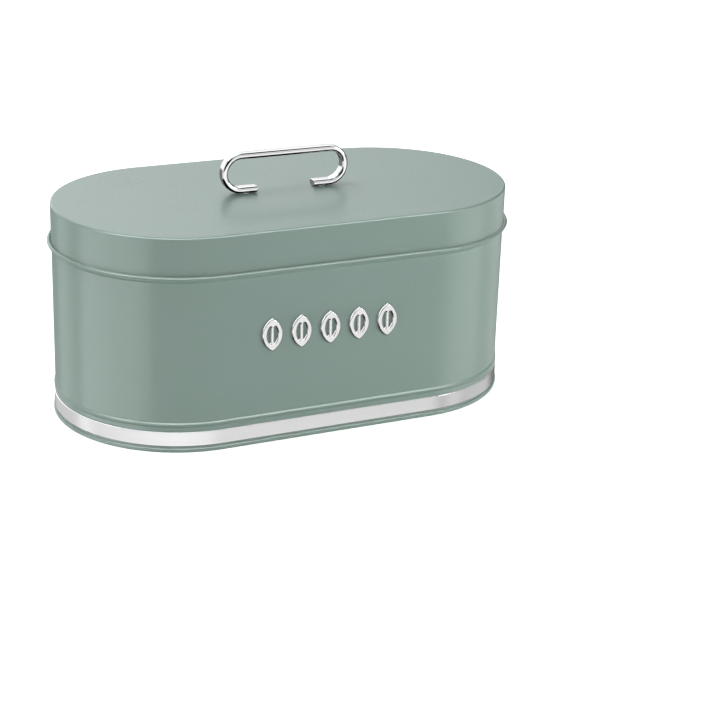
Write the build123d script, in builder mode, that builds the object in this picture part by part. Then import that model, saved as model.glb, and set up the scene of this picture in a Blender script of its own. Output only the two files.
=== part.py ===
from build123d import *
import math
import os

os.makedirs("parts", exist_ok=True)

# Oval bread bin, pressed and folded from coated sheet steel.
# Millimetres.  The origin is the centre of the footprint on the table:
# +X runs along the length, -Y is the front with the badges, +Z is up.

# ---------------------------------------------------------------- sizes
# A radius of a ring-shaped piece is measured from the end axis; along the
# flat sides it is the distance from the XZ plane.
sheet = 0.6                  # steel sheet of body, base and lid
end_radius = 89.0            # outside of the wall round each end
straight = 81.0              # half the length of the flat sides
wall_r = end_radius - sheet / 2          # middle of the wall sheet
wall_inner = end_radius - sheet

# body wall
flange_z = 1.05              # flange trapped inside the base seam
flange_r = 89.70
heel_bend = 0.6
swage_z = 21.2               # stiffening bead above the trim band
swage_bend = 1.578
swage_turn = 41.7
swage_half = 2 * swage_bend * math.sin(math.radians(swage_turn))
flare_z = 122.8              # the mouth starts to open out here
flare_bend = 1.2
flare_turn = 50.0
flare_run = 0.78
curl_z = 126.9               # rolled rim
curl_bend = 0.85
curl_turn = 290.0

# lock seam up the middle of the back
seam_width = 5.2
seam_depth = 0.6
seam_bottom = 6.0
seam_top = 110.0
seam_overlap = 0.1           # how far the fold reaches into the wall
seam_line = 0.4              # width of the step that shows outside
seam_line_depth = 0.25
line_above_band = 0.4        # gaps where the step stops short
line_off_swage = 2.6
line_below_flare = 0.6

# base panel and chime
chime_r = 90.13              # middle of the outer leg of the seam
chime_bend = 0.7
chime_top = 3.0
hook_gap = 0.1               # cut edge of the hook to the wall
chuck_r = 88.0               # middle of the inner leg
panel_z = 4.3                # middle of the panel sheet
panel_bend = 1.3
step_r = 78.0                # raised step that stiffens the panel
step_bend = 1.5
step_turn = 45.0

# polished band round the foot
band_inner = 89.15
band_outer = 89.85
band_low = 4.7
band_high = 14.95
band_edge = 0.28             # bevel on the outer edges
band_edge_round = 0.2
band_tall = band_high - band_low
band_mid = (band_low + band_high) / 2
lap_width = 12.0             # lapped joint at the back
lap_proud = 0.5
lap_overlap = 0.1            # how far the lap reaches into the band
lap_corner = 0.8
weld_dot_r = 0.8
weld_dot_high = 0.25
weld_dot_overlap = 0.05
weld_dots = 4
weld_margin = 1.3            # end dot centres to the band edges

# lid
lid_top = 154.9
lid_outer = 89.2             # outside of the skirt
lid_bend = 1.1               # bend radius at the middle of the sheet
under_lid = lid_top - sheet
skirt_low = 124.35
plug_fix_r = 88.25           # collar where it is welded inside the skirt
plug_r = 87.6                # collar where it enters the mouth
plug_high = 149.0
plug_joggle_z = 129.4
plug_joggle_bend = 1.5
plug_joggle_turn = math.degrees(
    math.acos(1 - (plug_fix_r - plug_r) / (2 * plug_joggle_bend))
)
plug_low = 113.6
plug_hem_bend = 0.9
plug_hem_turn = 200

# handle
handle_top = 185.0
handle_thick = 4.5
handle_width = 8.5
handle_half = 49.0           # centre of the lid to the outside of a bend
handle_foot_end = 22.0       # centre of the lid to the cut end of a foot
handle_corner = 1.5
handle_end_round = 0.35
spacer_high = 0.5
spacer_r = 3.5
foot_low = lid_top + spacer_high
bar_high_z = handle_top - handle_thick / 2
bar_low_z = foot_low + handle_thick / 2
handle_bend = (bar_high_z - bar_low_z) / 2
handle_bend_x = handle_half - handle_thick / 2 - handle_bend

# handle fixings
screw_x = 29.5
screw_places = ((screw_x, 0), (-screw_x, 0))
screw_r = 1.95
screw_hole_r = 2.2           # clearance hole in lid, spacers and washers
hole_overshoot = 0.5         # cutter beyond each face of the lid
tapped_r = 2.0
tapped_depth = 3.2
screw_depth = 2.9            # how far a screw enters the foot
screw_tip_bevel = 0.5
washer_r = 4.6
washer_thick = 0.8
washer_bevel = 0.15
head_r = 3.8
head_high = 2.4
head_flat_inset = 1.4        # rim of the head to its flat underside
head_side_high = 1.5         # height of the rounding below the straight rim
head_mid_inset = 0.4         # point part way round that rounding
head_mid_high = 0.5
recess_width = 0.9
recess_long = 4.2
recess_depth = 1.3

# badges: five grain-shaped outlines in a row on the front
badge_count = 5
badge_row_x = -1.9           # middle of the row
badge_pitch = 21.95
badge_z = 80.3
badge_high = 23.9
badge_wide = 14.8
badge_stroke = 3.1
badge_rib = 1.9              # bar down the middle of a grain
badge_rib_overlap = 1.0      # how far the bar runs into each tip
badge_tip_round = 1.0
badge_opening_round = 0.8
badge_thick = 1.7
badge_round = 0.65
pad_thick = 0.5              # adhesive pad behind each badge
pad_inset = 0.6
badge_x = [
    badge_row_x + (i - (badge_count - 1) / 2) * badge_pitch for i in range(badge_count)
]
grain_arc = (badge_high**2 / 4 + badge_wide**2 / 4) / badge_wide     # radius of a side
grain_shift = grain_arc - badge_wide / 2     # arc centre to the middle of the grain

# ------------------------------------------------------------ shared steps
# Every ring-shaped piece has one section, drawn as (radius, height).
SECTION = Plane(origin=(straight, 0, 0), x_dir=(0, -1, 0), z_dir=(-1, 0, 0))
END_AXIS = Axis((straight, 0, 0), (0, 0, 1))


def bend(before, radius, turn):
    """Arc that carries on smoothly from the line before; turn > 0 is to the left."""
    return JernArc(before @ 1, before % 1, radius, turn)


def run_round(profile):
    """Pull a section along half a flat side, turn it a quarter, mirror twice."""
    extrude(profile, amount=straight)
    revolve(profile, axis=END_AXIS, revolution_arc=90)
    mirror(about=Plane.YZ)
    mirror(about=Plane.XZ)


def grain_size(inset):
    """Half height and half width of the grain outline, drawn in by inset."""
    arc = grain_arc - inset
    return math.sqrt(arc**2 - grain_shift**2), arc - grain_shift


def draw_grain(inset):
    """Both sides of the grain outline, in the line block that is open."""
    tall, wide = grain_size(inset)
    ThreePointArc((0, -tall), (wide, 0), (0, tall))
    ThreePointArc((0, tall), (-wide, 0), (0, -tall))


def front_plane(x, y):
    """Plane at badge height that faces the front."""
    return Plane(origin=(x, y, badge_z), x_dir=(1, 0, 0), z_dir=(0, -1, 0))


def save(piece, name):
    piece.part.label = name
    export_step(piece.part, f"parts/{name}.step")


# ------------------------------------------------------------- body shell
with BuildPart() as body_shell:
    with BuildSketch(SECTION) as section:
        with BuildLine():
            flange = Line((flange_r, flange_z), (wall_r + heel_bend, flange_z))
            heel = bend(flange, heel_bend, -90)
            foot = Line(heel @ 1, (wall_r, swage_z - swage_half))
            swage_a = bend(foot, swage_bend, -swage_turn)
            swage_b = bend(swage_a, swage_bend, 2 * swage_turn)
            swage_c = bend(swage_b, swage_bend, -swage_turn)
            side = Line(swage_c @ 1, (wall_r, flare_z))
            flare_a = bend(side, flare_bend, -flare_turn)
            flare_b = PolarLine(flare_a @ 1, flare_run, direction=flare_a % 1)
            flare_c = bend(flare_b, flare_bend, flare_turn)
            lip = Line(flare_c @ 1, ((flare_c @ 1).X, curl_z))
            bend(lip, curl_bend, -curl_turn)
        trace(line_width=sheet)
    run_round(section.sketch)
    # folded thickness of the lock seam, on the inside of the back
    with BuildSketch(Plane.XY.offset(seam_bottom)):
        with Locations((0, wall_inner - (seam_depth - seam_overlap) / 2)):
            Rectangle(seam_width, seam_depth + seam_overlap)
    extrude(amount=seam_top - seam_bottom)
    # the step beside the seam, on the outside of the back
    for low, high in (
        (band_high + line_above_band, swage_z - line_off_swage),
        (swage_z + line_off_swage, flare_z - line_below_flare),
    ):
        with BuildSketch(Plane.XY.offset(low)):
            with Locations((seam_width / 2, end_radius)):
                Rectangle(seam_line, 2 * seam_line_depth)
        extrude(amount=high - low, mode=Mode.SUBTRACT)
save(body_shell, "body_shell")

# --------------------------------------------------------------- base pan
with BuildPart() as base_pan:
    with BuildSketch(SECTION) as section:
        with BuildLine():
            hook = Line((end_radius + hook_gap, chime_top), (chime_r - chime_bend, chime_top))
            hook_bend = bend(hook, chime_bend, -90)
            outer_leg = Line(hook_bend @ 1, (chime_r, sheet / 2 + chime_bend))
            under_a = bend(outer_leg, chime_bend, -90)
            tread = Line(under_a @ 1, (chuck_r + chime_bend, sheet / 2))
            under_b = bend(tread, chime_bend, -90)
            inner_leg = Line(under_b @ 1, (chuck_r, panel_z - panel_bend))
            panel_edge = bend(inner_leg, panel_bend, 90)
            rim_flat = Line(panel_edge @ 1, (step_r, panel_z))
            step_a = bend(rim_flat, step_bend, -step_turn)
            step_b = bend(step_a, step_bend, step_turn)
            Line(step_b @ 1, (0, (step_b @ 1).Y))
        trace(line_width=sheet)
    run_round(section.sketch)
save(base_pan, "base_pan")

# -------------------------------------------------------------- trim band
with BuildPart() as trim_band:
    with BuildSketch(SECTION) as section:
        with BuildLine():
            Polyline(
                (band_inner, band_low),
                (band_outer - band_edge, band_low),
                (band_outer, band_low + band_edge),
                (band_outer, band_high - band_edge),
                (band_outer - band_edge, band_high),
                (band_inner, band_high),
                close=True,
            )
        make_face()
        # the two corners between the bevels and the outer face
        fillet(
            section.vertices().filter_by(
                lambda v: v.X > band_inner + 0.1 and band_low + 0.1 < v.Y < band_high - 0.1
            ),
            radius=band_edge_round,
        )
    run_round(section.sketch)
    # outer end of the strip, lapped over the inner one and spot welded
    with BuildSketch(Plane.XZ.offset(-(band_outer - lap_overlap))):
        with Locations((0, band_mid)):
            RectangleRounded(lap_width, band_tall - 2 * band_edge, lap_corner)
    extrude(amount=-(lap_proud + lap_overlap))
    with BuildSketch(Plane.XZ.offset(-(band_outer + lap_proud - weld_dot_overlap))):
        with GridLocations(
            0, (band_tall - 2 * weld_margin) / (weld_dots - 1), 1, weld_dots
        ):
            with Locations((0, band_mid)):
                Circle(weld_dot_r)
    extrude(amount=-(weld_dot_high + weld_dot_overlap))
save(trim_band, "trim_band")

# ------------------------------------------------- badges and their pads
for number, x in enumerate(badge_x, 1):
    with BuildPart() as badge:
        with BuildSketch(front_plane(x, -(end_radius + pad_thick))) as grain_sketch:
            with BuildLine():
                draw_grain(0)
            make_face()
            with BuildLine():
                draw_grain(badge_stroke)
            make_face(mode=Mode.SUBTRACT)
            opening_half = grain_size(badge_stroke)[0]
            Rectangle(badge_rib, 2 * (opening_half + badge_rib_overlap))
            # rounded tips, and rounded ends to the two openings
            tips = grain_sketch.vertices().filter_by(lambda v: abs(v.X) < 0.01)
            fillet(tips, radius=badge_tip_round)
            opening_ends = grain_sketch.vertices().filter_by(
                lambda v: abs(abs(v.X) - badge_rib / 2) < 0.01
            )
            fillet(opening_ends, radius=badge_opening_round)
        extrude(amount=badge_thick)
        front_edges = badge.edges().group_by(Axis.Y)[0]
        fillet(front_edges, radius=badge_round)
    save(badge, f"front_badge_{number}")

with BuildPart() as badge_pads:
    for x in badge_x:
        with BuildSketch(front_plane(x, -end_radius)):
            with BuildLine():
                draw_grain(pad_inset)
            make_face()
            with BuildLine():
                draw_grain(badge_stroke - pad_inset)
            make_face(mode=Mode.SUBTRACT)
        extrude(amount=pad_thick)
save(badge_pads, "badge_pads")

# ---------------------------------------------------------------- lid cap
with BuildPart() as lid_cap:
    with BuildSketch(Plane.XY.offset(skirt_low)):
        SlotCenterToCenter(2 * straight, 2 * lid_outer)
    extrude(amount=lid_top - skirt_low)
    fillet(lid_cap.faces().sort_by(Axis.Z)[-1].edges(), radius=lid_bend + sheet / 2)
    offset(amount=-sheet, openings=lid_cap.faces().sort_by(Axis.Z)[0])
    with BuildSketch(Plane.XY.offset(lid_top + hole_overshoot)):
        with Locations(*screw_places):
            Circle(screw_hole_r)
    extrude(amount=-(sheet + 2 * hole_overshoot), mode=Mode.SUBTRACT)
save(lid_cap, "lid_cap")

# --------------------------------------------------------- lid plug ring
with BuildPart() as lid_plug_ring:
    with BuildSketch(SECTION) as section:
        with BuildLine():
            fix = Line((plug_fix_r, plug_high), (plug_fix_r, plug_joggle_z))
            joggle_a = bend(fix, plug_joggle_bend, -plug_joggle_turn)
            joggle_b = bend(joggle_a, plug_joggle_bend, plug_joggle_turn)
            collar = Line(joggle_b @ 1, (plug_r, plug_low))
            bend(collar, plug_hem_bend, -plug_hem_turn)
        trace(line_width=sheet)
    run_round(section.sketch)
save(lid_plug_ring, "lid_plug_ring")

# ----------------------------------------------------------------- handle
with BuildPart() as handle:
    with BuildLine(Plane.XZ):
        right_foot = Line((handle_foot_end, bar_low_z), (handle_bend_x, bar_low_z))
        right_turn = JernArc(right_foot @ 1, (1, 0), handle_bend, 180)
        bar = Line(right_turn @ 1, (-handle_bend_x, bar_high_z))
        left_turn = JernArc(bar @ 1, (-1, 0), handle_bend, 180)
        Line(left_turn @ 1, (-handle_foot_end, bar_low_z))
    with BuildSketch(
        Plane(origin=(handle_foot_end, 0, bar_low_z), x_dir=(0, 1, 0), z_dir=(1, 0, 0))
    ):
        RectangleRounded(handle_width, handle_thick, handle_corner)
    sweep()
    cut_ends = handle.faces().filter_by(Axis.X)
    fillet(cut_ends.edges(), radius=handle_end_round)
    # blind tapped holes under the feet
    with BuildSketch(Plane.XY.offset(foot_low)):
        with Locations(*screw_places):
            Circle(tapped_r)
    extrude(amount=tapped_depth, mode=Mode.SUBTRACT)
save(handle, "handle")

# ---------------------------------------------------------- handle fixings
with BuildPart() as handle_spacers:
    with BuildSketch(Plane.XY.offset(lid_top)):
        with Locations(*screw_places):
            Circle(spacer_r)
            Circle(screw_hole_r, mode=Mode.SUBTRACT)
    extrude(amount=spacer_high)
save(handle_spacers, "handle_spacers")

head_top = under_lid - washer_thick
with BuildPart() as handle_washers:
    with BuildSketch(Plane.XY.offset(head_top)):
        with Locations(*screw_places):
            Circle(washer_r)
            Circle(screw_hole_r, mode=Mode.SUBTRACT)
    extrude(amount=washer_thick)
    chamfer(handle_washers.faces().group_by(Axis.Z)[0].edges(), length=washer_bevel)
save(handle_washers, "handle_washers")

# The screws point up, with their heads inside the lid.
head_low = head_top - head_high
head_side = screw_x + head_r
shank_side = screw_x + screw_r
screw_tip = foot_low + screw_depth
with BuildPart() as handle_screws:
    with BuildSketch(Plane.XZ):
        with BuildLine():
            Line((screw_x, head_low), (head_side - head_flat_inset, head_low))
            ThreePointArc(
                (head_side - head_flat_inset, head_low),
                (head_side - head_mid_inset, head_low + head_mid_high),
                (head_side, head_low + head_side_high),
            )
            Polyline(
                (head_side, head_low + head_side_high),
                (head_side, head_top),
                (shank_side, head_top),
                (shank_side, screw_tip - screw_tip_bevel),
                (shank_side - screw_tip_bevel, screw_tip),
                (screw_x, screw_tip),
                (screw_x, head_low),
            )
        make_face()
    revolve(axis=Axis((screw_x, 0, 0), (0, 0, 1)))
    # cross recess for the driver
    with BuildSketch(Plane.XY.offset(head_low)):
        with Locations((screw_x, 0)):
            Rectangle(recess_long, recess_width)
            Rectangle(recess_width, recess_long)
    extrude(amount=recess_depth, mode=Mode.SUBTRACT)
    mirror(about=Plane.YZ)
save(handle_screws, "handle_screws")
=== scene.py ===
"""A long oval bread bin of painted sheet steel, with a steel band, a lid and a strip handle.

The bin stands on z = 0 with its long sides along x. Its front faces -y and its back +y.
Shapes are worked out in millimetres and turned into metres when a mesh is made.
"""
import math

import bmesh
import bpy
from mathutils import Matrix, Vector


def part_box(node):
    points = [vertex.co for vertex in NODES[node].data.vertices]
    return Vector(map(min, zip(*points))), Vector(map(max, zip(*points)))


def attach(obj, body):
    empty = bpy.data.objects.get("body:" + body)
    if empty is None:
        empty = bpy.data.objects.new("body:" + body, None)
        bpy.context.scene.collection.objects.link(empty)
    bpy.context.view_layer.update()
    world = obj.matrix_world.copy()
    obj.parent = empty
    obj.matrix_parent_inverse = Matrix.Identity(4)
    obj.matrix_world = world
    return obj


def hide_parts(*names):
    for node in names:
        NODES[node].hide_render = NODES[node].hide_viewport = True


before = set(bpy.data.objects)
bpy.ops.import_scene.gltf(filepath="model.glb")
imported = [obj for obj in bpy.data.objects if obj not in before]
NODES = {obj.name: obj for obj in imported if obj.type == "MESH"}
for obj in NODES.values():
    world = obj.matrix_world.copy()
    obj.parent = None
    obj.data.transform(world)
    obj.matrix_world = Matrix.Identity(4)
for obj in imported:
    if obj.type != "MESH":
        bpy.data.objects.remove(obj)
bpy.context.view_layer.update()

MM = 0.001
BADGES = [NODES[f"front_badge_{i}"] for i in range(1, 6)]


# =============================================================== dimensions
def box_mm(node):
    """Low and high corners of a piece of the frame, in millimetres."""
    low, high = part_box(node)
    return low / MM, high / MM


lid_low, lid_high = box_mm("lid_cap")
shell_low, shell_high = box_mm("body_shell")
band_low, band_high = box_mm("trim_band")
collar_low, collar_high = box_mm("lid_plug_ring")
handle_low, handle_high = box_mm("handle")

# Radii are taken from the centres of the oval's two round ends, to the outside of the sheet.
LID_R = lid_high.y
END_X = lid_high.x - LID_R             # end centres at x = +-END_X
LID_TOP, SKIRT_LOW = lid_high.z, lid_low.z
RIM_TOP, WALL_LOW = shell_high.z, shell_low.z
WALL_R = -box_mm("badge_pads")[1].y    # the badge pads sit on the wall
CHIME_R = box_mm("base_pan")[1].y      # outer edge of the base
BAND_R = -band_low.y
BAND_LOW, BAND_HIGH = band_low.z, band_high.z
BAND_MID = (BAND_LOW + BAND_HIGH) / 2
COLLAR_R, COLLAR_LOW_BOX_TOP = collar_high.y, collar_high.z

SHEET = 0.6                            # thickness of all the painted sheet
HALF = SHEET / 2


# ================================================================= outlines
class Trace:
    """A line of runs and bends in a plane of x (or radius) and z.

    Each point is (x, z, normal x, normal z), with the normal on the left of the line.
    """

    def __init__(self, x, z, heading):
        self.heading = math.radians(heading)
        self.points = []
        self._mark(x, z)

    def _mark(self, x, z):
        self.x, self.z = x, z
        self.points.append((x, z, -math.sin(self.heading), math.cos(self.heading)))

    def run(self, length, cuts=1):
        x0, z0 = self.x, self.z
        for i in range(1, cuts + 1):
            along = length * i / cuts
            self._mark(x0 + along * math.cos(self.heading), z0 + along * math.sin(self.heading))
        return self

    def run_to_x(self, x, cuts=1):
        return self.run((x - self.x) / math.cos(self.heading), cuts)

    def run_to_z(self, z, cuts=1):
        return self.run((z - self.z) / math.sin(self.heading), cuts)

    def bend(self, radius, turn, steps):
        """Turns by that many degrees; positive is to the left."""
        side = 1 if turn > 0 else -1
        start = self.heading
        centre_x = self.x - side * radius * math.sin(start)
        centre_z = self.z + side * radius * math.cos(start)
        for i in range(1, steps + 1):
            self.heading = start + math.radians(turn) * i / steps
            self._mark(
                centre_x + side * radius * math.sin(self.heading),
                centre_z - side * radius * math.cos(self.heading),
            )
        return self

    def jog(self, radius, turn, steps):
        """Steps the line sideways with two equal and opposite bends."""
        return self.bend(radius, turn, steps).bend(radius, -turn, steps)


def rounded_edge(x, z, nx, nz, steps=5):
    """Half circle round a cut edge of the sheet, without its two ends."""
    start = math.atan2(nz, nx)
    turned = [start - math.pi * i / steps for i in range(1, steps)]
    return [
        (x + HALF * math.cos(a), z + HALF * math.sin(a), math.cos(a), math.sin(a)) for a in turned
    ]


def sheet_outline(trace, round_start=True, round_end=True):
    """Closed outline of the sheet along a trace: (r, z, normal r, normal z)."""
    points = trace.points
    out = [(x + nx * HALF, z + nz * HALF, nx, nz) for x, z, nx, nz in points]
    if round_end:
        out += rounded_edge(*points[-1])
    out += [(x - nx * HALF, z - nz * HALF, -nx, -nz) for x, z, nx, nz in reversed(points)]
    if round_start:
        x, z, nx, nz = points[0]
        out += rounded_edge(x, z, -nx, -nz)
    return out


def arc(x, z, radius, start, end, steps):
    """Points (x, z, normal x, normal z) of an arc about (x, z), between angles in degrees."""
    turned = [math.radians(start + (end - start) * i / steps) for i in range(steps + 1)]
    return [
        (x + radius * math.cos(a), z + radius * math.sin(a), math.cos(a), math.sin(a))
        for a in turned
    ]


def rounded_rectangle(half_wide, half_tall, corner, steps):
    """Rectangle about the origin with rounded corners: (x, z, normal x, normal z)."""
    out = []
    for side_x, side_z, start in ((1, 1, 0), (-1, 1, 90), (-1, -1, 180), (1, -1, 270)):
        x = side_x * (half_wide - corner)
        z = side_z * (half_tall - corner)
        out += arc(x, z, corner, start, start + 90, steps)
    return out


def quarter_turn(steps):
    """Angles from 0 to 90 degrees, in radians."""
    return [math.radians(90 * i / steps) for i in range(steps + 1)]


# ================================================================== meshing
# Mesh functions return (vertices, faces, vertex normals, faces that are shaded flat).
def oval_stations(end_cuts=96, side_cuts=36):
    """Places round the oval: (x of the centre turned about, outward x, outward y)."""
    out = []
    for side, start in ((1, -90), (-1, 90)):
        for i in range(end_cuts):
            out.append((side * END_X, start + 180 * i / end_cuts))
        for i in range(side_cuts):
            out.append((side * (END_X - 2 * END_X * i / side_cuts), start + 180))
    return [(x, math.cos(math.radians(a)), math.sin(math.radians(a))) for x, a in out]


def oval_ring(outline, stations=None):
    """A closed outline carried round the oval."""
    stations = stations or oval_stations()
    count, size = len(stations), len(outline)
    verts, normals = [], []
    for centre, out_x, out_y in stations:
        for r, z, nr, nz in outline:
            verts.append((centre + r * out_x, r * out_y, z))
            normals.append((nr * out_x, nr * out_y, nz))
    faces = []
    for i in range(count):
        j = (i + 1) % count
        for k in range(size):
            n = (k + 1) % size
            faces.append((i * size + k, j * size + k, j * size + n, i * size + n))
    return verts, faces, normals, ()


def oval_panel(outline):
    """An outline that starts and ends at r = 0, carried round and joined on the middle line."""
    middle, verts, normals, rows = {}, [], [], []
    for centre, out_x, out_y in oval_stations():
        row = []
        for r, z, nr, nz in outline:
            if r >= 1e-6:
                row.append(len(verts))
                verts.append((centre + r * out_x, r * out_y, z))
                normals.append((nr * out_x, nr * out_y, nz))
                continue
            key = (round(centre, 4), round(z, 4))
            if key not in middle:
                middle[key] = len(verts)
                verts.append((centre, 0.0, z))
                normals.append((0.0, 0.0, nz))
            row.append(middle[key])
        rows.append(row)
    faces = []
    for a, b in zip(rows, rows[1:] + rows[:1]):
        for k in range(len(outline) - 1):
            face = tuple(dict.fromkeys((a[k], b[k], b[k + 1], a[k + 1])))
            if len(face) >= 3:
                faces.append(face)
    return verts, faces, normals, ()


def closed_sleeve(sections):
    """Sections of (point, normal) joined in a row, with a flat face over each end."""
    size = len(sections[0])
    verts = [point for section in sections for point, _ in section]
    normals = [normal for section in sections for _, normal in section]
    faces = []
    for a in range(0, len(verts) - size, size):
        b = a + size
        for i in range(size):
            j = (i + 1) % size
            faces.append((a + i, a + j, b + j, b + i))
    faces.append(tuple(reversed(range(size))))
    faces.append(tuple(range(len(verts) - size, len(verts))))
    return verts, faces, normals, (len(faces) - 2, len(faces) - 1)


def face_outwards(verts, faces):
    """Turns the faces over if they enclose a negative volume."""
    points = [Vector(v) for v in verts]
    volume = 0.0
    for face in faces:
        for i in range(1, len(face) - 1):
            volume += points[face[0]].dot(points[face[i]].cross(points[face[i + 1]]))
    return faces if volume > 0 else [tuple(reversed(face)) for face in faces]


def link_object(name, data):
    obj = bpy.data.objects.new(name, data)
    bpy.context.scene.collection.objects.link(obj)
    return obj


def make(name, parts, body, replaced=None):
    """Makes a piece with its own exact normals and tells the frame about it."""
    verts, faces, normals, flat = parts
    flat = set(flat)
    mesh = bpy.data.meshes.new(name)
    points = [(x * MM, y * MM, z * MM) for x, y, z in verts]
    mesh.from_pydata(points, [], face_outwards(verts, faces))
    mesh.validate()
    mesh.update()
    loops = [None] * len(mesh.loops)
    for p in mesh.polygons:
        p.use_smooth = True
        for i in p.loop_indices:
            own = normals[mesh.loops[i].vertex_index]
            loops[i] = tuple(p.normal) if p.index in flat else own
    mesh.normals_split_custom_set(loops)
    obj = link_object(name, mesh)
    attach(obj, body)
    if replaced:
        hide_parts(replaced)
    return obj


# ============================================================== body shell
FOOT_RUN, FOOT_BEND = 0.4, 0.6         # outward flange at the foot of the wall
BEAD_LOW = 18.1                        # foot of the raised bead round the wall
BEAD_LOWER = (1.35, 45.3)              # bend radius and turn of its short lower flank
BEAD_UPPER = (2.1, 36.0)               # and of its longer upper flank
FLARE_Z, FLARE_BEND, FLARE_TURN, FLARE_RUN = 122.8, 1.2, 50.0, 0.78
CURL_BEND, CURL_TURN = 0.85, 290       # outward curl of the rim

# The folded edge of the lock seam shows as a narrow groove in the outside of the back.
SEAM_LEFT_X, SEAM_RIGHT_X = 2.4, 2.8
SEAM_DEEP, SEAM_RAMP = 0.25, 0.12
SEAM_STRETCHES = (                     # low z, high z, cuts up to it, cuts along it
    (15.35, 17.7, 2, 2),
    (23.8, 122.2, 1, 12),
)


def trace_seam(trace, stretch):
    """Runs up the wall with a point at each end of both ramps of the groove."""
    low, high, cuts_below, cuts_along = stretch
    trace.run_to_z(low, cuts_below).run_to_z(low + SEAM_RAMP)
    trace.run_to_z(high - SEAM_RAMP, cuts_along).run_to_z(high)


def shell_outline():
    trace = Trace(WALL_R - HALF + FOOT_BEND + FOOT_RUN, WALL_LOW + HALF, 180)
    trace.run(FOOT_RUN).bend(FOOT_BEND, -90, 8)
    trace_seam(trace, SEAM_STRETCHES[0])
    trace.run_to_z(BEAD_LOW)
    radius, turn = BEAD_LOWER
    trace.jog(radius, -turn, 7)
    radius, turn = BEAD_UPPER
    trace.jog(radius, turn, 8)
    trace_seam(trace, SEAM_STRETCHES[1])
    trace.run_to_z(FLARE_Z)
    trace.bend(FLARE_BEND, -FLARE_TURN, 7).run(FLARE_RUN).bend(FLARE_BEND, FLARE_TURN, 7)
    trace.run_to_z(RIM_TOP - CURL_BEND - HALF).bend(CURL_BEND, -CURL_TURN, 40)
    return sheet_outline(trace)


def in_groove(r, z, nr):
    """Whether a point of the outline is on the outside of the wall, between the ramps."""
    outside = nr > 0.999 and abs(r - WALL_R) < 0.01
    margin = 0.5 * SEAM_RAMP
    return outside and any(s[0] + margin < z < s[1] - margin for s in SEAM_STRETCHES)


def shell_mesh():
    """The wall, with extra stations across the back for the groove of the seam."""
    stations = oval_stations()
    before = [i for i, (x, _, out_y) in enumerate(stations) if out_y > 0.999 and x > SEAM_RIGHT_X]
    first = max(before) + 1
    _, out_x, out_y = stations[first]
    edges = (SEAM_RIGHT_X, SEAM_RIGHT_X - SEAM_RAMP, SEAM_LEFT_X + SEAM_RAMP, SEAM_LEFT_X)
    stations[first:first] = [(x, out_x, out_y) for x in edges]
    outline = shell_outline()
    verts, faces, normals, _ = oval_ring(outline, stations)
    rows = [k for k, (r, z, nr, _) in enumerate(outline) if in_groove(r, z, nr)]
    sunk = {i * len(outline) + k for i in (first + 1, first + 2) for k in rows}
    for i in sunk:
        x, y, z = verts[i]
        verts[i] = (x, y - SEAM_DEEP, z)
    ramps = [f for f, face in enumerate(faces) if 0 < sum(v in sunk for v in face) < len(face)]
    return verts, faces, normals, ramps


shell = make("bin_body_shell", shell_mesh(), "bin", "body_shell")

# ================================================================ seam fold
FOLD_WIDE, FOLD_DEEP = 5.2, 0.6
FOLD_LOW, FOLD_HIGH = 6.0, 110.0
FOLD_CORNER, FOLD_EDGE = 0.5, 0.28     # corners of the strip, rounding of its inner edges
FOLD_BITE = 0.05                       # how far it reaches into the wall


def seam_fold():
    """Flattened fold of the lock seam, a strip on the inside of the back wall."""
    mid = (FOLD_LOW + FOLD_HIGH) / 2
    loop = rounded_rectangle(FOLD_WIDE / 2, (FOLD_HIGH - FOLD_LOW) / 2, FOLD_CORNER, 6)
    inner_face = WALL_R - SHEET
    shoulder = inner_face - FOLD_DEEP + FOLD_EDGE
    levels = [(inner_face + FOLD_BITE, 0.0, 0.0)]        # y, inset, lean of the normals
    for a in quarter_turn(6):
        levels.append((shoulder - FOLD_EDGE * math.sin(a), FOLD_EDGE * (1 - math.cos(a)), a))
    sections = []
    for y, inset, lean in levels:
        level = math.cos(lean)
        sections.append([
            ((x - nx * inset, y, mid + z - nz * inset), (nx * level, -math.sin(lean), nz * level))
            for x, z, nx, nz in loop
        ])
    return closed_sleeve(sections)


fold = make("bin_seam_fold", seam_fold(), "bin")

# =============================================================== base pan
PAN_START_OUT, PAN_START_Z = 0.1, 3.0  # where the sheet starts, just outside the wall
CHIME_BEND, CHIME_INNER_R = 0.7, 88.0  # channel round the foot
BASE_Z, BASE_BEND = 4.3, 1.3           # level of the raised base
BASE_STEP_R, BASE_STEP_BEND, BASE_STEP_TURN = 78.0, 1.5, 45


def base_pan():
    trace = Trace(WALL_R + PAN_START_OUT, PAN_START_Z, 0)
    trace.run_to_x(CHIME_R - HALF - CHIME_BEND).bend(CHIME_BEND, -90, 10)
    trace.run_to_z(HALF + CHIME_BEND).bend(CHIME_BEND, -90, 10)
    trace.run_to_x(CHIME_INNER_R + CHIME_BEND).bend(CHIME_BEND, -90, 10)
    trace.run_to_z(BASE_Z - BASE_BEND).bend(BASE_BEND, 90, 10)
    trace.run_to_x(BASE_STEP_R, 2).jog(BASE_STEP_BEND, -BASE_STEP_TURN, 6)
    trace.run(trace.x, 5)
    trace.points[-1] = (0.0, *trace.points[-1][1:])
    outline = sheet_outline(trace, round_end=False)
    # start at one middle point and end at the other
    middle = next(i for i, point in enumerate(outline) if point[0] < 1e-6)
    return oval_panel(outline[middle + 1:] + outline[:middle + 1])


pan = make("bin_base_pan", base_pan(), "bin", "base_pan")

# ================================================================= lid cap
LID_BEND, LID_CUTS = 1.1, 8            # rolled edge; cuts from the middle to the roll


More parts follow.
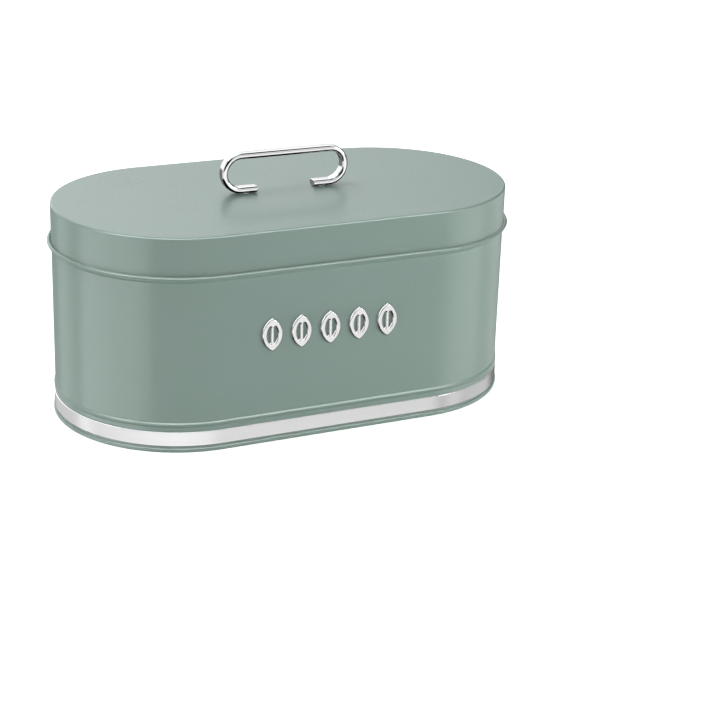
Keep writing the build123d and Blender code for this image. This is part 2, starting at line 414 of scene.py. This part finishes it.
def lid_outlines():
    """The flat top, and the rolled edge with its skirt; they meet where the roll begins."""
    trace = Trace(0.0, LID_TOP - HALF, 0)
    trace.run_to_x(LID_R - HALF - LID_BEND, LID_CUTS).bend(LID_BEND, -90, 10)
    trace.run_to_z(SKIRT_LOW + HALF, 4)
    outline = sheet_outline(trace, round_start=False)
    head = LID_CUTS
    tail = len(outline) - 1 - LID_CUTS
    return outline[:head + 1] + outline[tail:], outline[head:tail + 1]


top_outline, edge_outline = lid_outlines()
panel = make("lid_top_panel", oval_panel(top_outline), "lid", "lid_cap")
cap = make("lid_cap_sheet", oval_ring(edge_outline), "lid", "lid_cap")

# ============================================================== lid collar
COLLAR_JOG_Z, COLLAR_JOG_BEND = 129.4, 1.5
COLLAR_JOG_IN = 0.65                   # how far it steps inwards
COLLAR_CURL_Z, COLLAR_CURL_BEND, COLLAR_CURL_TURN = 113.6, 0.9, 200


def lid_collar():
    """The ring under the lid that enters the bin, stepped in and curled inwards at its foot."""
    turn = math.degrees(math.acos(1 - COLLAR_JOG_IN / (2 * COLLAR_JOG_BEND)))
    trace = Trace(COLLAR_R - HALF, COLLAR_LOW_BOX_TOP - HALF, -90)
    trace.run_to_z(COLLAR_JOG_Z, 3).jog(COLLAR_JOG_BEND, -turn, 5)
    trace.run_to_z(COLLAR_CURL_Z, 3).bend(COLLAR_CURL_BEND, -COLLAR_CURL_TURN, 24)
    return oval_ring(sheet_outline(trace))


collar = make("lid_collar", lid_collar(), "lid", "lid_plug_ring")

# ============================================================== trim band
BAND_THICK = 0.7
BAND_INNER_EDGE, BAND_OUTER_EDGE = 0.1, 0.34     # rounding of the edges
BAND_SHOULDER = 0.9                              # start of the flat face, from each edge


def trim_band():
    inner_x = BAND_R - BAND_THICK + BAND_INNER_EDGE
    outer_x = BAND_R - BAND_OUTER_EDGE
    outline = arc(inner_x, BAND_LOW + BAND_INNER_EDGE, BAND_INNER_EDGE, 180, 270, 3)
    outline += arc(outer_x, BAND_LOW + BAND_OUTER_EDGE, BAND_OUTER_EDGE, -90, 0, 8)
    outline += [(BAND_R, BAND_LOW + BAND_SHOULDER, 1, 0), (BAND_R, BAND_HIGH - BAND_SHOULDER, 1, 0)]
    outline += arc(outer_x, BAND_HIGH - BAND_OUTER_EDGE, BAND_OUTER_EDGE, 0, 90, 8)
    outline += arc(inner_x, BAND_HIGH - BAND_INNER_EDGE, BAND_INNER_EDGE, 90, 180, 3)
    return oval_ring(outline)


band = make("bin_trim_band", trim_band(), "bin", "trim_band")

# ================================================================ band lap
LAP_WIDE, LAP_THICK, LAP_BITE = 12.0, 0.5, 0.05
LAP_MARGIN = 0.28                      # between its edges and those of the band
LAP_CORNER, LAP_EDGE = 0.8, 0.2
DOT_COUNT, DOT_CUTS = 4, 24
DOT_SPAN = BAND_HIGH - BAND_LOW - 2.6  # between the first and last dot
DOT_PROFILE = (                        # radius, height off the plate
    (0.8, -0.1), (0.78, 0.04), (0.66, 0.13), (0.45, 0.2), (0.2, 0.245),
)


def join_rings(bm, rings):
    for a, b in zip(rings, rings[1:]):
        for i in range(len(a)):
            j = (i + 1) % len(a)
            bm.faces.new((a[i], a[j], b[j], b[i]))


def lap_plate(bm, face_y):
    """Plate with rounded corners and softened outer edges."""
    half_wide = LAP_WIDE / 2
    half_tall = (BAND_HIGH - BAND_LOW) / 2 - LAP_MARGIN
    loop = rounded_rectangle(half_wide, half_tall, LAP_CORNER, 6)
    levels = [(BAND_R - LAP_BITE, 0.0)]          # y, inset
    for a in quarter_turn(5):
        y = face_y - LAP_EDGE + LAP_EDGE * math.sin(a)
        levels.append((y, LAP_EDGE * (1 - math.cos(a))))
    rings = []
    for y, inset in levels:
        shrink_x = (half_wide - inset) / half_wide
        shrink_z = (half_tall - inset) / half_tall
        rings.append([
            bm.verts.new((x * shrink_x * MM, y * MM, (BAND_MID + z * shrink_z) * MM))
            for x, z, _, _ in loop
        ])
    join_rings(bm, rings)
    bm.faces.new(rings[0])
    bm.faces.new(list(reversed(rings[-1])))


def weld_dot(bm, face_y, mid_z):
    """Low dome on the plate."""
    turns = [2 * math.pi * i / DOT_CUTS for i in range(DOT_CUTS)]
    rings = []
    for radius, off in DOT_PROFILE:
        rings.append([
            bm.verts.new((
                radius * math.cos(a) * MM,
                (face_y + off) * MM,
                (mid_z + radius * math.sin(a)) * MM,
            ))
            for a in turns
        ])
    join_rings(bm, rings)
    bm.faces.new(rings[-1])
    bm.faces.new(list(reversed(rings[0])))


def lap_joint():
    """Lapped end of the band at the middle of the back, with a column of weld dots."""
    face_y = BAND_R + LAP_THICK
    bm = bmesh.new()
    lap_plate(bm, face_y)
    for i in range(DOT_COUNT):
        step = i - (DOT_COUNT - 1) / 2
        weld_dot(bm, face_y, BAND_MID + step * DOT_SPAN / (DOT_COUNT - 1))
    bmesh.ops.recalc_face_normals(bm, faces=bm.faces)
    mesh = bpy.data.meshes.new("bin_trim_band_lap")
    bm.to_mesh(mesh)
    bm.free()
    for p in mesh.polygons:
        p.use_smooth = True
    obj = link_object("bin_trim_band_lap", mesh)
    weighted = obj.modifiers.new("weighted", "WEIGHTED_NORMAL")
    weighted.keep_sharp = True
    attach(obj, "bin")
    return obj


lap = lap_joint()

# ================================================================== handle
HANDLE_THICK, HANDLE_WIDE, HANDLE_CORNER = 4.5, handle_high.y * 2, 2.0
HANDLE_END_X = 22.0                    # the lower runs end at x = +-HANDLE_END_X
HANDLE_END_EDGE = 0.35                 # rounding of the end faces


def handle_mesh():
    """A strip bent into a flat loop in the x-z plane, open in the middle of its lower side."""
    low = handle_low.z + HANDLE_THICK / 2
    high = handle_high.z - HANDLE_THICK / 2
    radius = (high - low) / 2
    bend_x = handle_high.x - HANDLE_THICK / 2 - radius
    trace = Trace(HANDLE_END_X, low, 0)
    trace.run(bend_x - HANDLE_END_X, 4).bend(radius, 180, 64)
    trace.run(2 * bend_x, 12).bend(radius, 180, 64)
    trace.run(bend_x - HANDLE_END_X, 4)

    # rounded ends: inset of the section, push along the line, lean of the normals
    edge = [
        (HANDLE_END_EDGE * (1 - math.sin(a)), HANDLE_END_EDGE * (1 - math.cos(a)), math.pi / 2 - a)
        for a in quarter_turn(5)
    ]
    points = trace.points
    places = [(points[0], inset, push, -lean) for inset, push, lean in edge]
    places += [(point, 0, 0, 0) for point in points[1:-1]]
    places += [(points[-1], inset, -push, lean) for inset, push, lean in reversed(edge)]

    half_wide, half_thick = HANDLE_WIDE / 2, HANDLE_THICK / 2
    loop = rounded_rectangle(half_wide, half_thick, HANDLE_CORNER, 10)
    sections = []
    for (x, z, nx, nz), inset, push, lean in places:
        along_x, along_z = nz, -nx
        shrink_y = (half_wide - inset) / half_wide
        shrink_off = (half_thick - inset) / half_thick
        c, s = math.cos(lean), math.sin(lean)
        section = []
        for y, off, normal_y, normal_off in loop:
            point = (
                x + nx * off * shrink_off + along_x * push,
                y * shrink_y,
                z + nz * off * shrink_off + along_z * push,
            )
            normal = (
                nx * normal_off * c + along_x * s,
                normal_y * c,
                nz * normal_off * c + along_z * s,
            )
            section.append((point, normal))
        sections.append(section)
    return closed_sleeve(sections)


handle = make("lid_handle", handle_mesh(), "lid", "handle")


# ============================================================ shader nodes
class Graph:
    """An emptied node tree, with short ways to add nodes to it."""

    def __init__(self, tree):
        self.tree = tree
        tree.nodes.clear()

    def node(self, kind, **settings):
        node = self.tree.nodes.new(kind)
        for key, value in settings.items():
            setattr(node, key, value)
        return node

    def feed(self, socket, value):
        """Sets a socket from a number or a colour, or links it to an output."""
        if isinstance(value, (int, float)):
            socket.default_value = value
        elif isinstance(value, tuple):
            socket.default_value = (*value, 1.0)
        else:
            self.tree.links.new(value, socket)

    def math(self, operation, a, b):
        node = self.node("ShaderNodeMath", operation=operation)
        self.feed(node.inputs[0], a)
        self.feed(node.inputs[1], b)
        return node.outputs[0]

    def remap(self, value, low, high):
        """Spreads the middle of a noise, 0.3 to 0.7, from low to high."""
        node = self.node("ShaderNodeMapRange")
        node.inputs["From Min"].default_value = 0.3
        node.inputs["From Max"].default_value = 0.7
        node.inputs["To Min"].default_value = low
        node.inputs["To Max"].default_value = high
        self.feed(node.inputs["Value"], value)
        return node.outputs[0]

    def smooth_step(self, value, start, end):
        node = self.node("ShaderNodeMapRange", interpolation_type="SMOOTHSTEP")
        node.inputs["From Min"].default_value = start
        node.inputs["From Max"].default_value = end
        self.feed(node.inputs["Value"], value)
        return node.outputs[0]

    def mix(self, factor, a, b):
        node = self.node("ShaderNodeMix", data_type="RGBA")
        self.feed(node.inputs[0], factor)
        colours = [s for s in node.inputs if s.type == "RGBA"]
        self.feed(colours[0], a)
        self.feed(colours[1], b)
        return next(s for s in node.outputs if s.type == "RGBA")


class Surface(Graph):
    """A material with one Principled shader, patterned by object coordinates."""

    def __init__(self, name):
        self.material = bpy.data.materials.new(name)
        self.material.use_nodes = True
        super().__init__(self.material.node_tree)
        output = self.node("ShaderNodeOutputMaterial")
        self.shader = self.node("ShaderNodeBsdfPrincipled")
        self.feed(output.inputs["Surface"], self.shader.outputs["BSDF"])
        self.position = self.node("ShaderNodeTexCoord").outputs["Object"]

    def set(self, name, value):
        self.feed(self.shader.inputs[name], value)

    def noise(self, scale, detail=3.0, roughness=0.5, stretch=None):
        """Noise; stretch multiplies the coordinates first."""
        vector = self.position
        if stretch:
            scaled = self.node("ShaderNodeVectorMath", operation="MULTIPLY")
            scaled.inputs[1].default_value = stretch
            self.feed(scaled.inputs[0], vector)
            vector = scaled.outputs[0]
        node = self.node("ShaderNodeTexNoise")
        node.inputs["Scale"].default_value = scale
        node.inputs["Detail"].default_value = detail
        node.inputs["Roughness"].default_value = roughness
        self.feed(node.inputs["Vector"], vector)
        return node.outputs["Fac"]

    def bump(self, height, strength, distance):
        node = self.node("ShaderNodeBump")
        node.inputs["Strength"].default_value = strength
        node.inputs["Distance"].default_value = distance
        self.feed(node.inputs["Height"], height)
        self.set("Normal", node.outputs["Normal"])


# ============================================================== materials
PAINT = (0.261, 0.358, 0.311)


def powder_coat():
    """Sage green satin powder coat, with fine orange peel and faint mottling."""
    s = Surface("sage_powder_coat")
    broad = s.noise(scale=14.0, detail=2.0)
    grain = s.noise(scale=1500.0, detail=2.0)
    speck = s.noise(scale=4200.0, detail=1.0)
    dark = tuple(c * 0.978 for c in PAINT)
    light = tuple(c * 1.022 for c in PAINT)
    broad_tone = s.remap(broad, low=0, high=0.5)
    tone = s.math("ADD", broad_tone, s.remap(grain, low=0, high=0.5))
    s.set("Base Color", s.mix(tone, dark, light))
    fine_rough = s.remap(grain, low=0.27, high=0.33)
    broad_rough = s.remap(broad, low=-0.008, high=0.008)
    s.set("Roughness", s.math("ADD", fine_rough, broad_rough))
    s.set("IOR", 1.5)
    peel = s.noise(scale=620.0, detail=2.0, roughness=0.45)
    peel_height = s.math("MULTIPLY", peel, 1.0)
    height = s.math("ADD", peel_height, s.math("MULTIPLY", speck, 0.25))
    s.bump(height, strength=0.22, distance=0.00006)
    return s.material


def polished_band():
    """Polished stainless strip, with the long grain of rolled sheet and soft smudges."""
    s = Surface("polished_stainless_strip")
    s.set("Metallic", 1.0)
    lines = s.noise(scale=1.0, roughness=0.6, stretch=(6.0, 6.0, 5200.0))
    smudge = s.noise(scale=60.0)
    smudged = s.remap(smudge, low=0, high=1)
    s.set("Base Color", s.mix(smudged, (0.86, 0.86, 0.865), (0.92, 0.92, 0.915)))
    line_rough = s.remap(lines, low=0.12, high=0.19)
    smudge_rough = s.remap(smudge, low=-0.015, high=0.035)
    s.set("Roughness", s.math("ADD", line_rough, smudge_rough))
    s.bump(lines, strength=0.08, distance=0.00002)
    return s.material


def chrome(name, colour, roughness):
    """Chromed steel: slight waviness, soft smears and fine wiping marks."""
    s = Surface(name)
    s.set("Metallic", 1.0)
    smear = s.noise(scale=90.0)
    fine = s.noise(scale=900.0, detail=2.0, stretch=(1.0, 1.0, 7.0))
    dark = tuple(c * 0.97 for c in colour)
    light = tuple(min(1.0, c * 1.03) for c in colour)
    s.set("Base Color", s.mix(s.remap(smear, low=0, high=1), dark, light))
    smear_rough = s.remap(smear, low=roughness * 0.7, high=roughness * 1.3)
    fine_rough = s.remap(fine, low=0.0, high=roughness * 0.4)
    s.set("Roughness", s.math("ADD", smear_rough, fine_rough))
    s.bump(s.noise(scale=140.0, detail=1.0), strength=0.10, distance=0.00008)
    return s.material


def badge_metal():
    """Bright plated casting: satin-white polish."""
    s = Surface("bright_plated_badge")
    s.set("Metallic", 1.0)
    soft = s.noise(scale=260.0)
    cast = s.noise(scale=1900.0, detail=2.0)
    tone = s.remap(soft, low=0, high=1)
    s.set("Base Color", s.mix(tone, (0.90, 0.90, 0.895), (0.95, 0.95, 0.945)))
    soft_rough = s.remap(soft, low=0.17, high=0.24)
    s.set("Roughness", s.math("ADD", soft_rough, s.remap(cast, low=-0.02, high=0.02)))
    s.bump(cast, strength=0.06, distance=0.00003)
    return s.material


def foam_pad():
    """Dark, matt closed-cell foam."""
    s = Surface("adhesive_foam")
    voronoi = s.node("ShaderNodeTexVoronoi")
    voronoi.inputs["Scale"].default_value = 2600.0
    s.feed(voronoi.inputs["Vector"], s.position)
    cells = voronoi.outputs["Distance"]
    s.set("Base Color", s.mix(cells, (0.05, 0.052, 0.05), (0.11, 0.115, 0.11)))
    s.set("Roughness", 0.85)
    s.bump(cells, strength=0.4, distance=0.0001)
    return s.material


def zinc():
    """Bright zinc plating with a cloudy, slightly bluish bloom."""
    s = Surface("zinc_plated_fixings")
    s.set("Metallic", 1.0)
    bloom = s.noise(scale=420.0)
    tone = s.remap(bloom, low=0, high=1)
    s.set("Base Color", s.mix(tone, (0.60, 0.61, 0.62), (0.72, 0.72, 0.70)))
    fine = s.noise(scale=2600.0, detail=2.0)
    bloom_rough = s.remap(bloom, low=0.24, high=0.36)
    s.set("Roughness", s.math("ADD", bloom_rough, s.remap(fine, low=-0.03, high=0.03)))
    s.bump(fine, strength=0.15, distance=0.00004)
    return s.material


def dress(material, *objects):
    for obj in objects:
        slots = obj.data.materials
        if not slots:
            slots.append(material)
            continue
        for i in range(len(slots)):
            slots[i] = material


PAINTED = [shell, fold, pan, panel, cap, collar]
dress(powder_coat(), *PAINTED)
for piece in PAINTED:
    piece.visible_glossy = False
dress(polished_band(), band, lap)
dress(chrome("mirror_chrome", colour=(0.80, 0.80, 0.81), roughness=0.06), handle)
# The spacers get a dark grey base colour: painted shade, standing in for the shadow that falls
# under the handle's feet.
spacer_painted_shade_metal = chrome("painted_shade_spacer_metal", colour=(0.34, 0.34, 0.35), roughness=0.16)
dress(spacer_painted_shade_metal, NODES["handle_spacers"])
dress(badge_metal(), *BADGES)
dress(foam_pad(), NODES["badge_pads"])
dress(zinc(), NODES["handle_screws"], NODES["handle_washers"])

# =================================================================== lamps
# The stage is in metres. Azimuth 0 is the front and 90 the right.
LAMPS = {
    # name: (place, aim, size x, size y, watts)
    "left_softbox": ((-1.5, 0.15, 0.7), (-0.1, 0, 0.08), 0.9, 1.1, 1.6),
    "right_softbox": ((1.35, -0.35, 0.6), (0.08, 0, 0.08), 0.8, 0.9, 1.15),
    "top_softbox": ((-0.35, 0.2, 1.5), (0, 0, 0.15), 1.2, 1.5, 9.4),
    "back_softbox": ((0.5, 1.3, 1.1), (0, 0, 0.15), 1.0, 0.7, 2.7),
    "near_strip": ((0.75, -0.75, 0.35), (0.1, -0.08, 0.08), 0.25, 0.5, 2.5),
}
SKY_COLOUR = (0.88, 1.0, 1.07)         # slightly cool, for the top softbox


def direction(azimuth, elevation):
    """Unit vector towards an azimuth and elevation in degrees."""
    az, el = math.radians(azimuth), math.radians(elevation)
    return Vector((math.sin(az) * math.cos(el), -math.cos(az) * math.cos(el), math.sin(el)))


def lamp(name, place, aim, wide, tall, watts):
    data = bpy.data.lights.new(name, "AREA")
    data.shape = "RECTANGLE"
    data.size = wide
    data.size_y = tall
    data.energy = watts
    obj = link_object(name, data)
    obj.location = place
    obj.rotation_mode = "QUATERNION"
    obj.rotation_quaternion = (Vector(aim) - Vector(place)).to_track_quat("-Z", "Y")
    return obj


for name, row in LAMPS.items():
    light = lamp(name, *row)
    if name == "top_softbox":
        light.data.color = SKY_COLOUR

# ========================================================= reflector cards
# Each card acts on one group of pieces and fades out towards its edges. The low cards light
# the paint as well as showing in it; the fill only lights it; the rest only show in theirs.
CARD_AIM_Z = 0.08
CARDS = {
    # name: (azimuth, elevation, distance, wide, tall, radiance, fade, group)
    "sheen_right": (23, 40, 1.6, 1.15, 1.55, 9.5, 0.1, "folds"),
    "sheen_middle": (-27, 40, 1.6, 1.15, 1.55, 9.5, 0.1, "folds"),
    "sheen_left": (-77, 40, 1.6, 1.15, 1.55, 9.5, 0.1, "folds"),
    "low_left": (-81, -20, 1.5, 2.1, 0.95, 2.95, 0.08, "paint"),
    "low_far_left": (-138, -20, 1.5, 0.9, 0.95, 1.0, 0.2, "paint"),
    "low_right": (62, -20, 1.5, 1.3, 0.95, 1.8, 0.2, "paint"),
    "low_far_right": (106, -20, 1.5, 1.0, 0.95, 0.65, 0.2, "paint"),
    "low_front": (5, -33, 1.5, 2.9, 0.36, 0.95, 0.1, "paint"),
    "fill_front": (22, 10, 1.6, 2.2, 0.5, 2.6, 0.1, "paint"),
    "band_left": (-140, -22, 1.5, 3.0, 0.9, 0.42, 0.3, "band"),
    "band_right": (80, -22, 1.5, 2.4, 0.9, 0.4, 0.3, "band"),
    "band_deep": (-10, -52, 1.5, 2.6, 0.8, 0.4, 0.3, "band"),
    "band_high": (-10, 30, 1.5, 3.4, 1.8, 0.85, 0.2, "band"),
    "handle_front": (25, -13, 1.5, 1.6, 0.62, 0.34, 0.3, "handle"),
    "handle_high": (28, 29, 1.5, 2.4, 1.75, 0.8, 0.2, "handle"),
    "handle_high_right": (108, 48, 1.5, 1.8, 1.2, 0.5, 0.2, "handle"),
    "badge_front": (25, -18, 1.5, 1.5, 0.7, 0.1, 0.3, "badges"),
    "badge_high": (20, 29, 1.5, 2.4, 1.75, 0.6, 0.2, "badges"),
}
GROUPS = {
    "paint": PAINTED,
    "folds": [shell, fold, pan, cap, collar],
    "band": [band, lap],
    "handle": [handle],
    "badges": BADGES,
}
receivers = {}
for group, pieces in GROUPS.items():
    receivers[group] = bpy.data.collections.new("shows_in_" + group)
    for piece in pieces:
        receivers[group].objects.link(piece)


def fade_edges(light, part):
    """Fades the light over that part of its width and height at each edge."""
    light.use_nodes = True
    g = Graph(light.node_tree)
    output = g.node("ShaderNodeOutputLight")
    emission = g.node("ShaderNodeEmission")
    split = g.node("ShaderNodeSeparateXYZ")
    g.feed(split.inputs[0], g.node("ShaderNodeNewGeometry").outputs["Parametric"])
    across, along = [
        g.smooth_step(g.math("PINGPONG", split.outputs[axis], 0.5), start=0.0, end=part)
        for axis in ("X", "Y")
    ]
    g.feed(emission.inputs["Strength"], g.math("MULTIPLY", across, along))
    g.feed(output.inputs[0], emission.outputs[0])


for name, (azimuth, elevation, far, wide, tall, radiance, fade, group) in CARDS.items():
    place = direction(azimuth, elevation) * far
    place.z += CARD_AIM_Z
    card = lamp(name, place, (0, 0, CARD_AIM_Z), wide, tall, radiance * math.pi * wide * tall)
    fade_edges(card.data, fade)
    card.visible_camera = False
    card.visible_transmission = False
    card.visible_diffuse = name.startswith(("low_", "fill_"))
    card.visible_glossy = not name.startswith("fill_")
    card.visible_volume_scatter = False
    card.light_linking.receiver_collection = receivers[group]

# =================================================================== world
# The room's brightness by direction, in equal steps from the back by way of the left,
# the front and the right.
LOW = [2.1, 1.32, 1.08, 0.98, 0.54, 0.04, 0, 0, 0, 0, 0, 0.03, 0.06, 0.03, 0.0, 1.03]
HIGH = [0.92, 0.62, 0.25, 0, 0, 0, 0.22, 0.54]
UNDER = [0.2, 0.2, 0.25, 0.6, 0.9, 0.97, 1.05, 1.1, 1.05, 0.86, 0.5, 0.2, 0.2, 0.2, 0.2, 0.2]
CAP = 0.0                              # straight overhead
ROOM = 8.0                             # scale that keeps every ramp stop below 1
# Heights (sine of the elevation) over which one zone fades into the next, going up.
DARK_TO_UNDER = (-0.52, -0.43)
UNDER_TO_LOW = (-0.12, 0.02)
LOW_TO_HIGH = (0.35, 0.6)
HIGH_TO_CAP = (0.82, 0.95)


def brightness_ramp(g, name, values, turn):
    node = g.node("ShaderNodeValToRGB", name=name)
    ramp = node.color_ramp
    ramp.interpolation = "EASE"
    stops = values + values[:1]
    while len(ramp.elements) < len(stops):
        ramp.elements.new(0.5)
    for i in range(len(stops)):
        ramp.elements[i].position = i / (len(stops) - 1)
    for i, value in enumerate(stops):
        ramp.elements[i].color = (value / ROOM, value / ROOM, value / ROOM, 1)
    g.feed(node.inputs["Fac"], turn)
    return node.outputs["Color"]


def studio_world():
    """A room that lights the bin by direction, and is plain white to the camera."""
    world = bpy.data.worlds.new("studio")
    bpy.context.scene.world = world
    world.use_nodes = True
    g = Graph(world.node_tree)
    coordinates = g.node("ShaderNodeTexCoord")
    split = g.node("ShaderNodeSeparateXYZ")
    g.feed(split.inputs[0], coordinates.outputs["Generated"])
    forward = g.math("MULTIPLY", split.outputs["Y"], -1.0)
    turn = g.math("ARCTAN2", split.outputs["X"], forward)
    turn = g.math("ADD", g.math("DIVIDE", turn, 2 * math.pi), 0.5)
    height = split.outputs["Z"]

    low = brightness_ramp(g, "LOW", LOW, turn)
    high = brightness_ramp(g, "HIGH", HIGH, turn)
    room = g.mix(g.smooth_step(height, *LOW_TO_HIGH), low, high)
    overhead = g.node("ShaderNodeValue", name="CAP")
    overhead.outputs[0].default_value = CAP / ROOM
    room = g.mix(g.smooth_step(height, *HIGH_TO_CAP), room, overhead.outputs[0])
    under = brightness_ramp(g, "UNDER", UNDER, turn)
    under = g.mix(g.smooth_step(height, *DARK_TO_UNDER), (0.0, 0.0, 0.0), under)
    room = g.mix(g.smooth_step(height, *UNDER_TO_LOW), under, room)

    lit = g.node("ShaderNodeBackground")
    g.feed(lit.inputs["Color"], room)
    lit.inputs["Strength"].default_value = ROOM
    seen = g.node("ShaderNodeBackground")
    g.feed(seen.inputs["Color"], (1, 1, 1))
    rays = g.node("ShaderNodeLightPath")
    chosen = g.node("ShaderNodeMixShader")
    g.feed(chosen.inputs[0], rays.outputs["Is Camera Ray"])
    g.feed(chosen.inputs[1], lit.outputs[0])
    g.feed(chosen.inputs[2], seen.outputs[0])
    output = g.node("ShaderNodeOutputWorld")
    g.feed(output.inputs["Surface"], chosen.outputs[0])


studio_world()

# =================================================================== floor
FLOOR_HALF, FLOOR_CUTS, FLOOR_Z = 6.0, 12, -0.00002
FLOOR_GLOW = 0.85                      # extra brightness that only the camera sees


def floor_material():
    s = Surface("pale_floor")
    tone = s.noise(scale=3.0, detail=2.0)
    s.set("Base Color", s.mix(tone, (0.86, 0.86, 0.86), (0.88, 0.88, 0.88)))
    s.set("Roughness", 0.9)
    s.set("Emission Color", (1, 1, 1))
    rays = s.node("ShaderNodeLightPath")
    s.set("Emission Strength", s.math("MULTIPLY", rays.outputs["Is Camera Ray"], FLOOR_GLOW))
    return s.material


def make_floor():
    """A large pale sheet just under the bin."""
    line = [(-1 + 2 * i / FLOOR_CUTS) * FLOOR_HALF for i in range(FLOOR_CUTS + 1)]
    verts = [(x, y, FLOOR_Z) for y in line for x in line]
    row = len(line)
    corners = [j * row + i for j in range(FLOOR_CUTS) for i in range(FLOOR_CUTS)]
    mesh = bpy.data.meshes.new("floor")
    mesh.from_pydata(verts, [], [(c, c + 1, c + row + 1, c + row) for c in corners])
    obj = link_object("floor", mesh)
    mesh.materials.append(floor_material())
    obj.visible_glossy = False
    obj.visible_shadow = False


make_floor()

# ================================================================== camera
CAMERA_AZIMUTH, CAMERA_ELEVATION, CAMERA_ROLL = -26.073, 21.55, 1.967
# Where the bin's origin lies as the camera sees it, in metres.
ORIGIN_RIGHT, ORIGIN_DOWN, ORIGIN_AHEAD = -0.059831, 0.020348, 1.3976
LENS, SENSOR = 92.892, 36.0            # millimetres


def make_camera():
    roll = math.radians(CAMERA_ROLL)
    back = direction(CAMERA_AZIMUTH, CAMERA_ELEVATION)
    ahead = -back
    level_right = ahead.cross(Vector((0, 0, 1))).normalized()
    level_up = level_right.cross(ahead)
    right = level_right * math.cos(roll) + level_up * math.sin(roll)
    up = -level_right * math.sin(roll) + level_up * math.cos(roll)
    data = bpy.data.cameras.new("view")
    data.sensor_width = SENSOR
    data.lens = LENS
    data.clip_start = 0.05
    data.clip_end = 60
    camera = link_object("view", data)
    camera.rotation_mode = "QUATERNION"
    camera.rotation_quaternion = Matrix((right, up, back)).transposed().to_quaternion()
    camera.location = -(right * ORIGIN_RIGHT - up * ORIGIN_DOWN + ahead * ORIGIN_AHEAD)
    bpy.context.scene.camera = camera


make_camera()
bpy.context.scene.view_settings.view_transform = "Standard"
bpy.context.scene.view_settings.look = "None"
